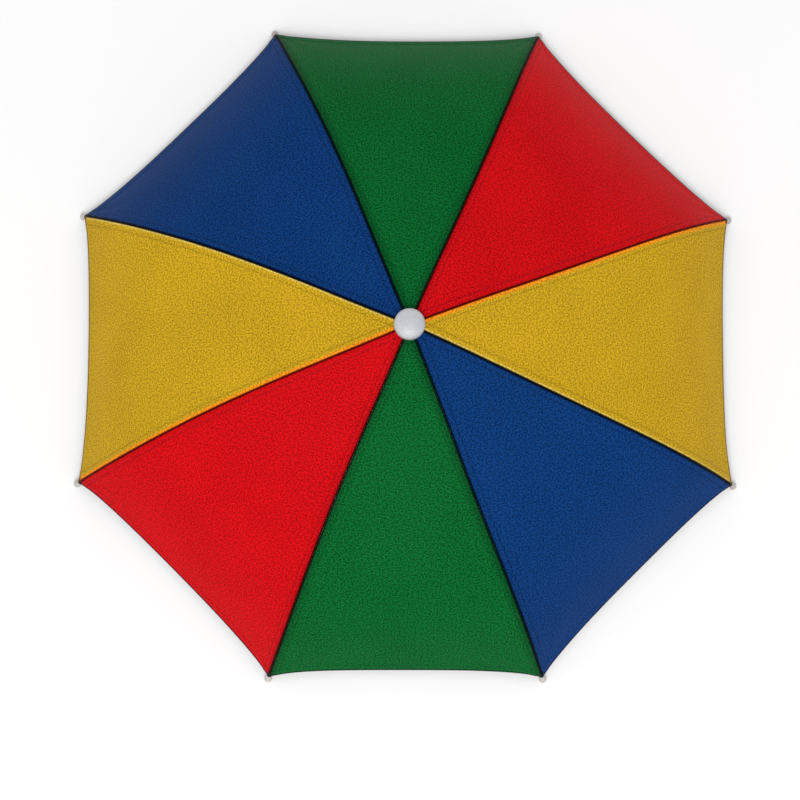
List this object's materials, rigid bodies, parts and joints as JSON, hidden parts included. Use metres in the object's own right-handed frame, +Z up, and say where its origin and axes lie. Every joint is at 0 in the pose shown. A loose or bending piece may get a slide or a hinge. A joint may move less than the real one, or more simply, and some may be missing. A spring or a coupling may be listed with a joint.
{
  "type": "umbrella hat",
  "caption": "Opened umbrella worn as a hat: domed cloth canopy in coloured gores on sprung ribs, with a round cap on top and an elastic headband hung from the stretchers.",
  "frame": {"origin": "on the hat's axis, at the level of the surface that the beads on the rib tips stand on", "axes": "+Z up along the post, through the cap; +X through the middle of a yellow gore and +Y through the middle of a green gore"},
  "size_m": [0.4808, 0.4808, 0.1313],
  "materials": {
    "yellow_cloth": "fine plain-woven polyester with a slight sheen",
    "red_cloth": "fine plain-woven polyester with a slight sheen",
    "green_cloth": "fine plain-woven polyester with a slight sheen",
    "blue_cloth": "fine plain-woven polyester with a slight sheen",
    "rib_steel": "bright drawn steel",
    "white_plastic": "moulded, soft gloss",
    "black_elastic": "ribbed woven elastic"
  },
  "bodies": {
    "root": {"gore_yellow_1": "yellow_cloth", "gore_yellow_2": "yellow_cloth", "gore_red_1": "red_cloth", "gore_red_2": "red_cloth", "gore_green_1": "green_cloth", "gore_green_2": "green_cloth", "gore_blue_1": "blue_cloth", "gore_blue_2": "blue_cloth", "rib_1": "rib_steel", "rib_2": "rib_steel", "rib_3": "rib_steel", "rib_4": "rib_steel", "rib_5": "rib_steel", "rib_6": "rib_steel", "rib_7": "rib_steel", "rib_8": "rib_steel", "rib_tip_1": "white_plastic", "rib_tip_2": "white_plastic", "rib_tip_3": "white_plastic", "rib_tip_4": "white_plastic", "rib_tip_5": "white_plastic", "rib_tip_6": "white_plastic", "rib_tip_7": "white_plastic", "rib_tip_8": "white_plastic", "stretcher_1": "rib_steel", "stretcher_2": "rib_steel", "stretcher_3": "rib_steel", "stretcher_4": "rib_steel", "stretcher_5": "rib_steel", "stretcher_6": "rib_steel", "stretcher_7": "rib_steel", "stretcher_8": "rib_steel", "headband_tab_1": "black_elastic", "headband_tab_2": "black_elastic", "headband_tab_3": "black_elastic", "headband_tab_4": "black_elastic", "hub": "white_plastic", "runner": "white_plastic", "post": "white_plastic", "top_cap": "white_plastic", "headband": "black_elastic"}
  },
  "joints": []
}
